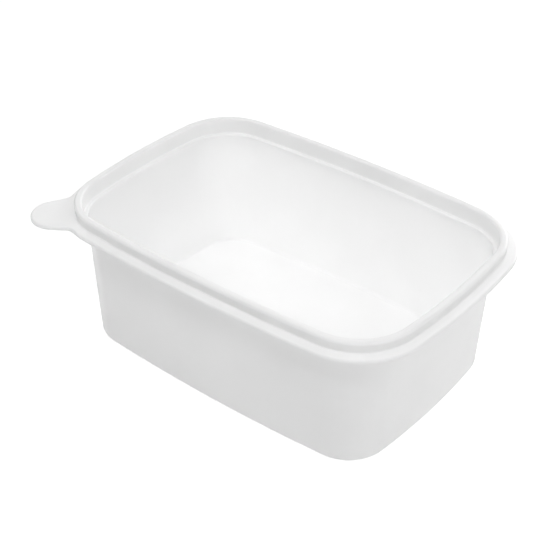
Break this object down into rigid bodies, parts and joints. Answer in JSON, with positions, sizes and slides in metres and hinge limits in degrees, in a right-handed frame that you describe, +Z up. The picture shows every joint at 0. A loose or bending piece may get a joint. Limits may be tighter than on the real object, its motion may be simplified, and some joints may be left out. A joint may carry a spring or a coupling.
{
  "type": "disposable food container",
  "caption": "Empty rectangular plastic food tub with bowed drafted walls, a lid seat, a snap bead, a turned-down flange and a corner pull tab.",
  "frame": {"origin": "centre of the tub's underside, on the surface it stands on", "axes": "+X along the tub's length, +Y across it, +Z up; the pull tab is at the -X, -Y corner"},
  "size_m": [0.1907, 0.1332, 0.0682],
  "materials": {
    "plastic": "semi-gloss, slightly translucent white polypropylene"
  },
  "bodies": {
    "root": {"tub": "plastic"}
  },
  "joints": []
}
